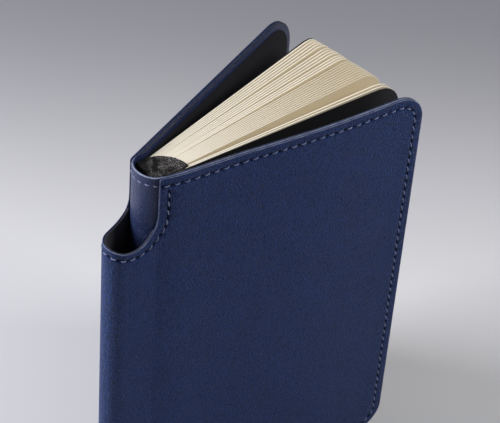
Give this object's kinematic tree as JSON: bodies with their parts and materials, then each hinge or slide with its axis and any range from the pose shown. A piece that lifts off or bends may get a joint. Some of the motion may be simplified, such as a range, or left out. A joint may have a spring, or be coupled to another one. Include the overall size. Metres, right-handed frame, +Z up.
{
  "type": "stitched notebook with spine pen sleeve",
  "caption": "Stitched leather-covered notebook standing ajar on its tail, with fanned cream pages and an open pen sleeve wrapped round the spine.",
  "frame": {"origin": "middle of the footprint on the surface the tail stands on, in the plane midway between the covers", "axes": "+Z up from tail to head, -X towards the spine and pen sleeve, +X towards the fore-edge, front cover on the -Y side"},
  "size_m": [0.1517, 0.0836, 0.212],
  "materials": {
    "navy_leather": "satin",
    "black_lining": "matte",
    "black_cloth": "matte",
    "black_paper": "matte",
    "cream_paper": "matte",
    "board": "matte",
    "stitching": "satin",
    "sewing_thread": "matte"
  },
  "bodies": {
    "spine": {"inner_spine": "navy_leather", "spine_stiffener": "board", "spine_lining": "black_lining", "pen_sleeve": "navy_leather", "sleeve_lining": "black_lining", "spine_cloth": "black_cloth", "sewing_thread": "sewing_thread", "spine_head_stitching": "stitching", "spine_tail_stitching": "stitching", "sleeve_mouth_stitching": "stitching", "sleeve_tail_stitching": "stitching"},
    "front_cover": {"front_jacket": "navy_leather", "front_case": "navy_leather", "front_board": "board", "front_lining": "black_lining", "front_stitching": "stitching"},
    "back_cover": {"back_jacket": "navy_leather", "back_case": "navy_leather", "back_board": "board", "back_lining": "black_lining", "back_stitching": "stitching"},
    "front_flyleaf": {"front_flyleaf": "black_paper"},
    "back_flyleaf": {"back_flyleaf": "black_paper"},
    "signature_01": {"signature_01": "cream_paper"},
    "signature_02": {"signature_02": "cream_paper"},
    "signature_03": {"signature_03": "cream_paper"},
    "signature_04": {"signature_04": "cream_paper"},
    "signature_05": {"signature_05": "cream_paper"},
    "signature_06": {"signature_06": "cream_paper"},
    "signature_07": {"signature_07": "cream_paper"},
    "signature_08": {"signature_08": "cream_paper"},
    "signature_09": {"signature_09": "cream_paper"},
    "signature_10": {"signature_10": "cream_paper"},
    "signature_11": {"signature_11": "cream_paper"},
    "signature_12": {"signature_12": "cream_paper"},
    "signature_13": {"signature_13": "cream_paper"},
    "signature_14": {"signature_14": "cream_paper"},
    "signature_15": {"signature_15": "cream_paper"},
    "signature_16": {"signature_16": "cream_paper"},
    "signature_17": {"signature_17": "cream_paper"},
    "signature_18": {"signature_18": "cream_paper"},
    "signature_19": {"signature_19": "cream_paper"},
    "signature_20": {"signature_20": "cream_paper"},
    "signature_21": {"signature_21": "cream_paper"},
    "signature_22": {"signature_22": "cream_paper"},
    "signature_23": {"signature_23": "cream_paper"},
    "signature_24": {"signature_24": "cream_paper"}
  },
  "joints": [
    {"name": "front_cover_hinge", "type": "hinge", "parent": "spine", "child": "front_cover", "pos_m": [-0.05446, -0.0093, 0], "axis": [0, 0, 1], "range_deg": [-140.85, 14.15]},
    {"name": "back_cover_hinge", "type": "hinge", "parent": "spine", "child": "back_cover", "pos_m": [-0.05446, 0.0093, 0], "axis": [0, 0, 1], "range_deg": [-14.15, 140.85]},
    {"name": "front_flyleaf_hinge", "type": "hinge", "parent": "spine", "child": "front_flyleaf", "pos_m": [-0.05446, -0.0093, 0], "axis": [0, 0, 1], "range_deg": [-104.02, 10.9]},
    {"name": "signature_01_hinge", "type": "hinge", "parent": "spine", "child": "signature_01", "pos_m": [-0.05446, -0.0093, 0], "axis": [0, 0, 1], "range_deg": [-99.04, 10.4]},
    {"name": "signature_02_hinge", "type": "hinge", "parent": "spine", "child": "signature_02", "pos_m": [-0.05446, -0.0093, 0], "axis": [0, 0, 1], "range_deg": [-92.08, 9.7]},
    {"name": "signature_03_hinge", "type": "hinge", "parent": "spine", "child": "signature_03", "pos_m": [-0.05446, -0.0093, 0], "axis": [0, 0, 1], "range_deg": [-62.22, 6.7]},
    {"name": "signature_04_hinge", "type": "hinge", "parent": "spine", "child": "signature_04", "pos_m": [-0.05446, -0.0093, 0], "axis": [0, 0, 1], "range_deg": [-56.25, 6.1]},
    {"name": "signature_05_hinge", "type": "hinge", "parent": "spine", "child": "signature_05", "pos_m": [-0.05446, -0.0093, 0], "axis": [0, 0, 1], "range_deg": [-50.28, 5.5]},
    {"name": "signature_06_hinge", "type": "hinge", "parent": "spine", "child": "signature_06", "pos_m": [-0.05446, -0.0093, 0], "axis": [0, 0, 1], "range_deg": [-44.3, 4.9]},
    {"name": "signature_07_hinge", "type": "hinge", "parent": "spine", "child": "signature_07", "pos_m": [-0.05446, -0.0093, 0], "axis": [0, 0, 1], "range_deg": [-38.33, 4.3]},
    {"name": "signature_08_hinge", "type": "hinge", "parent": "spine", "child": "signature_08", "pos_m": [-0.05446, -0.0093, 0], "axis": [0, 0, 1], "range_deg": [-32.35, 3.7]},
    {"name": "signature_09_hinge", "type": "hinge", "parent": "spine", "child": "signature_09", "pos_m": [-0.05446, -0.0093, 0], "axis": [0, 0, 1], "range_deg": [-26.37, 3.1]},
    {"name": "signature_10_hinge", "type": "hinge", "parent": "spine", "child": "signature_10", "pos_m": [-0.05446, -0.0093, 0], "axis": [0, 0, 1], "range_deg": [-20.4, 2.5]},
    {"name": "signature_11_hinge", "type": "hinge", "parent": "spine", "child": "signature_11", "pos_m": [-0.05446, -0.0093, 0], "axis": [0, 0, 1], "range_deg": [-14.43, 1.9]},
    {"name": "signature_12_hinge", "type": "hinge", "parent": "spine", "child": "signature_12", "pos_m": [-0.05446, -0.0093, 0], "axis": [0, 0, 1], "range_deg": [-8.46, 1.3]},
    {"name": "signature_13_hinge", "type": "hinge", "parent": "spine", "child": "signature_13", "pos_m": [-0.05446, 0.0093, 0], "axis": [0, 0, 1], "range_deg": [-0.8, 3.49]},
    {"name": "signature_14_hinge", "type": "hinge", "parent": "spine", "child": "signature_14", "pos_m": [-0.05446, 0.0093, 0], "axis": [0, 0, 1], "range_deg": [-1.28, 8.22]},
    {"name": "signature_15_hinge", "type": "hinge", "parent": "spine", "child": "signature_15", "pos_m": [-0.05446, 0.0093, 0], "axis": [0, 0, 1], "range_deg": [-1.75, 12.94]},
    {"name": "signature_16_hinge", "type": "hinge", "parent": "spine", "child": "signature_16", "pos_m": [-0.05446, 0.0093, 0], "axis": [0, 0, 1], "range_deg": [-2.55, 20.91]},
    {"name": "signature_17_hinge", "type": "hinge", "parent": "spine", "child": "signature_17", "pos_m": [-0.05446, 0.0093, 0], "axis": [0, 0, 1], "range_deg": [-3.1, 26.37]},
    {"name": "signature_18_hinge", "type": "hinge", "parent": "spine", "child": "signature_18", "pos_m": [-0.05446, 0.0093, 0], "axis": [0, 0, 1], "range_deg": [-3.65, 31.85]},
    {"name": "signature_19_hinge", "type": "hinge", "parent": "spine", "child": "signature_19", "pos_m": [-0.05446, 0.0093, 0], "axis": [0, 0, 1], "range_deg": [-4.2, 37.33]},
    {"name": "signature_20_hinge", "type": "hinge", "parent": "spine", "child": "signature_20", "pos_m": [-0.05446, 0.0093, 0], "axis": [0, 0, 1], "range_deg": [-5.2, 47.29]},
    {"name": "signature_21_hinge", "type": "hinge", "parent": "spine", "child": "signature_21", "pos_m": [-0.05446, 0.0093, 0], "axis": [0, 0, 1], "range_deg": [-5.75, 52.76]},
    {"name": "signature_22_hinge", "type": "hinge", "parent": "spine", "child": "signature_22", "pos_m": [-0.05446, 0.0093, 0], "axis": [0, 0, 1], "range_deg": [-6.3, 58.23]},
    {"name": "signature_23_hinge", "type": "hinge", "parent": "spine", "child": "signature_23", "pos_m": [-0.05446, 0.0093, 0], "axis": [0, 0, 1], "range_deg": [-6.85, 63.71]},
    {"name": "signature_24_hinge", "type": "hinge", "parent": "spine", "child": "signature_24", "pos_m": [-0.05446, 0.0093, 0], "axis": [0, 0, 1], "range_deg": [-7.4, 69.18]},
    {"name": "back_flyleaf_hinge", "type": "hinge", "parent": "spine", "child": "back_flyleaf", "pos_m": [-0.05446, 0.0093, 0], "axis": [0, 0, 1], "range_deg": [-7.7, 72.16]}
  ],
  "couplings": [
    {"joint": "front_flyleaf_hinge", "follows": "front_cover_hinge", "ratio": 0.735},
    {"joint": "signature_01_hinge", "follows": "front_cover_hinge", "ratio": 0.6996},
    {"joint": "signature_02_hinge", "follows": "front_cover_hinge", "ratio": 0.6502},
    {"joint": "signature_03_hinge", "follows": "front_cover_hinge", "ratio": 0.4382},
    {"joint": "signature_04_hinge", "follows": "front_cover_hinge", "ratio": 0.3958},
    {"joint": "signature_05_hinge", "follows": "front_cover_hinge", "ratio": 0.3534},
    {"joint": "signature_06_hinge", "follows": "front_cover_hinge", "ratio": 0.311},
    {"joint": "signature_07_hinge", "follows": "front_cover_hinge", "ratio": 0.2686},
    {"joint": "signature_08_hinge", "follows": "front_cover_hinge", "ratio": 0.2261},
    {"joint": "signature_09_hinge", "follows": "front_cover_hinge", "ratio": 0.1837},
    {"joint": "signature_10_hinge", "follows": "front_cover_hinge", "ratio": 0.1413},
    {"joint": "signature_11_hinge", "follows": "front_cover_hinge", "ratio": 0.0989},
    {"joint": "signature_12_hinge", "follows": "front_cover_hinge", "ratio": 0.0565},
    {"joint": "signature_13_hinge", "follows": "back_cover_hinge", "ratio": 0.0212},
    {"joint": "signature_14_hinge", "follows": "back_cover_hinge", "ratio": 0.0548},
    {"joint": "signature_15_hinge", "follows": "back_cover_hinge", "ratio": 0.0883},
    {"joint": "signature_16_hinge", "follows": "back_cover_hinge", "ratio": 0.1449},
    {"joint": "signature_17_hinge", "follows": "back_cover_hinge", "ratio": 0.1837},
    {"joint": "signature_18_hinge", "follows": "back_cover_hinge", "ratio": 0.2226},
    {"joint": "signature_19_hinge", "follows": "back_cover_hinge", "ratio": 0.2615},
    {"joint": "signature_20_hinge", "follows": "back_cover_hinge", "ratio": 0.3322},
    {"joint": "signature_21_hinge", "follows": "back_cover_hinge", "ratio": 0.371},
    {"joint": "signature_22_hinge", "follows": "back_cover_hinge", "ratio": 0.4099},
    {"joint": "signature_23_hinge", "follows": "back_cover_hinge", "ratio": 0.4488},
    {"joint": "signature_24_hinge", "follows": "back_cover_hinge", "ratio": 0.4876},
    {"joint": "back_flyleaf_hinge", "follows": "back_cover_hinge", "ratio": 0.5088}
  ]
}
